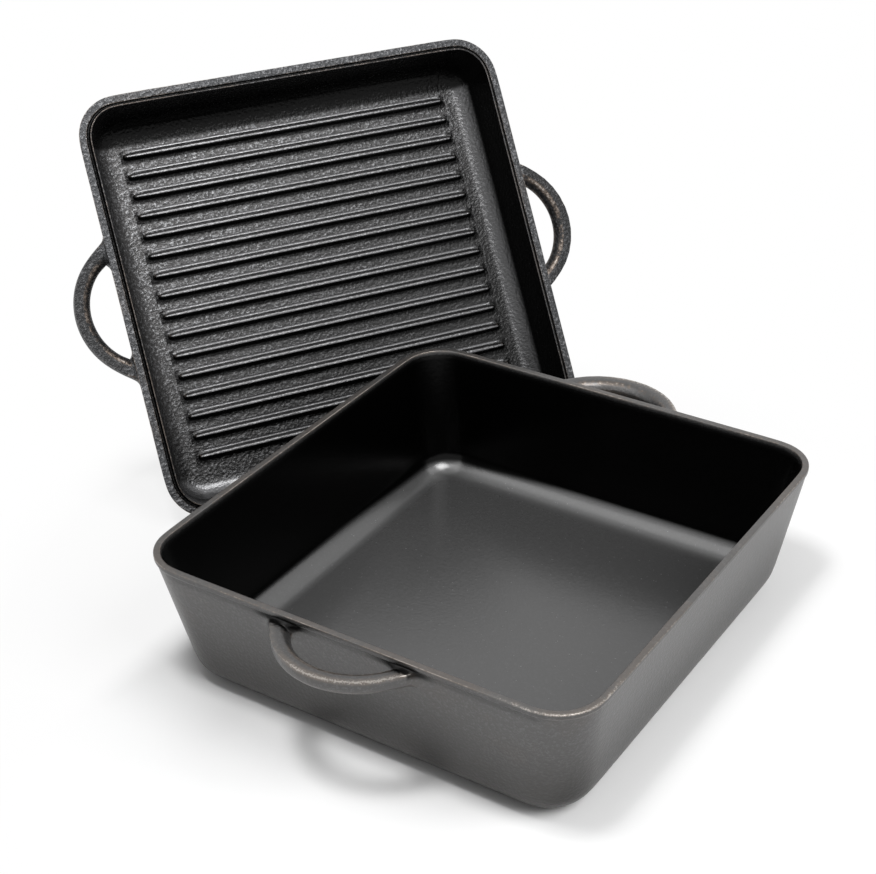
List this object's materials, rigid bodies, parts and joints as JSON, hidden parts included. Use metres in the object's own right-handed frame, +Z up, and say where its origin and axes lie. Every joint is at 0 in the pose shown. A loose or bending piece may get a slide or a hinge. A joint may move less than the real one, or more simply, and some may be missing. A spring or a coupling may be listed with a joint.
{
  "type": "combo cooker",
  "caption": "Square cast-iron deep pan with a shallow ribbed grill pan that doubles as its lid, with loop handles cast on the ends.",
  "frame": {"origin": "middle of the deep pan's flat base, on the surface that it stands on", "axes": "+X from handle to handle of the deep pan, +Z up out of the deep pan; the lid stands behind its +X +Y corner"},
  "size_m": [0.4207, 0.4342, 0.2112],
  "materials": {
    "pan_iron": "seasoned black cast iron, satin, with fine sand-cast grain and worn edges",
    "lid_iron": "seasoned black cast iron, satin to glossy, with coarse sand-cast grain and worn ribs"
  },
  "bodies": {
    "pan": {"deep_pan": "pan_iron"},
    "lid": {"grill_lid": "lid_iron"}
  },
  "joints": [
    {"name": "lid_lift", "type": "slide", "parent": "pan", "child": "lid", "axis": [0.3061, 0.4714, 0.8271], "range_m": [0, 0.12]}
  ]
}
